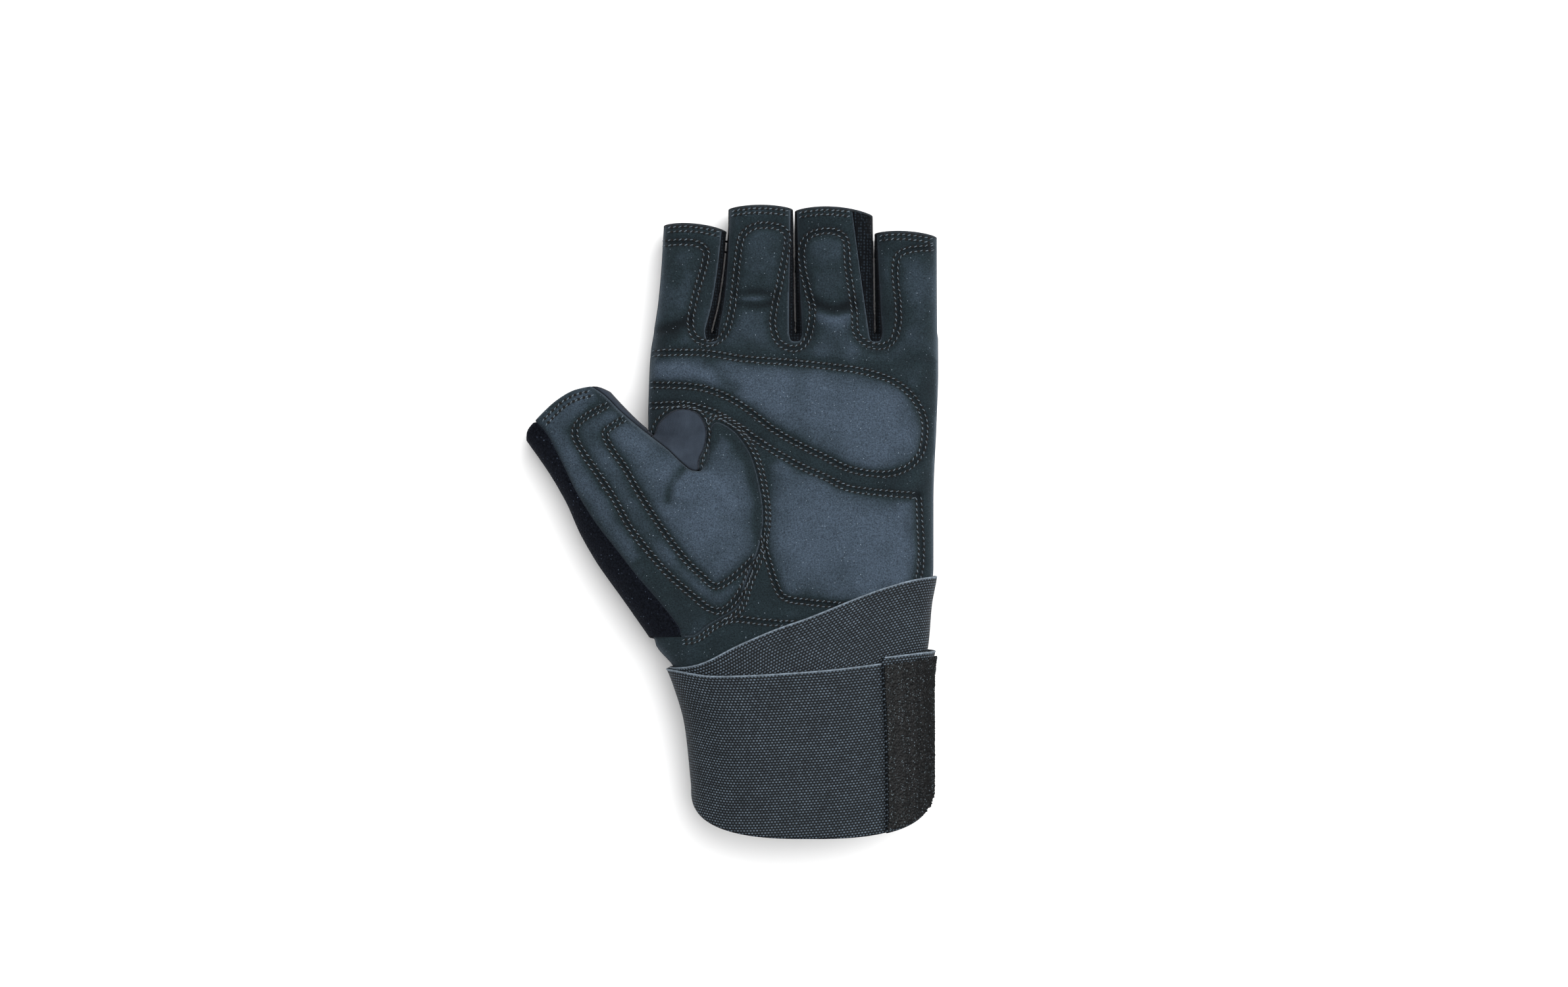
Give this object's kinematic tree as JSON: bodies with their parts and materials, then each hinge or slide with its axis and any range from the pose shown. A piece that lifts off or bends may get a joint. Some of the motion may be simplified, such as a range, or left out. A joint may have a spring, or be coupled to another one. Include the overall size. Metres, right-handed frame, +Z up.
{
  "type": "weightlifting glove",
  "caption": "Fingerless left-hand weightlifting glove lying palm up, with padded suede palm, mesh finger sides, terry thumb wipe and a woven wrist wrap with hook tape.",
  "frame": {"origin": "centre of the glove's outline on the surface it lies on", "axes": "+Y along the fingers away from the wrist, +Z up out of the palm, the thumb towards -X"},
  "size_m": [0.151, 0.2306, 0.0375],
  "materials": {
    "suede": "napped synthetic suede, blue-grey",
    "suede_pad": "napped synthetic suede over foam, blue-grey",
    "stretch_back": "matt stretch knit",
    "smooth_lycra": "smooth matt stretch fabric",
    "terry": "looped terry, near black",
    "woven_elastic": "woven elastic with a grained face",
    "hook_tape": "rough hook-and-loop tape",
    "knit_mesh": "open knit mesh"
  },
  "bodies": {
    "root": {"palm_panel": "suede", "thumb_panel": "suede", "finger_pad": "suede_pad", "metacarpal_pad": "suede_pad", "heel_pad": "suede_pad", "thumb_pad": "suede_pad", "back_panel": "stretch_back", "web_patch": "smooth_lycra", "thumb_gusset": "smooth_lycra", "thumb_terry": "terry", "wrist_wrap": "woven_elastic", "hook_patch": "hook_tape", "fourchette_index_middle": "knit_mesh", "fourchette_middle_ring": "knit_mesh", "fourchette_ring_little": "knit_mesh"}
  },
  "joints": []
}
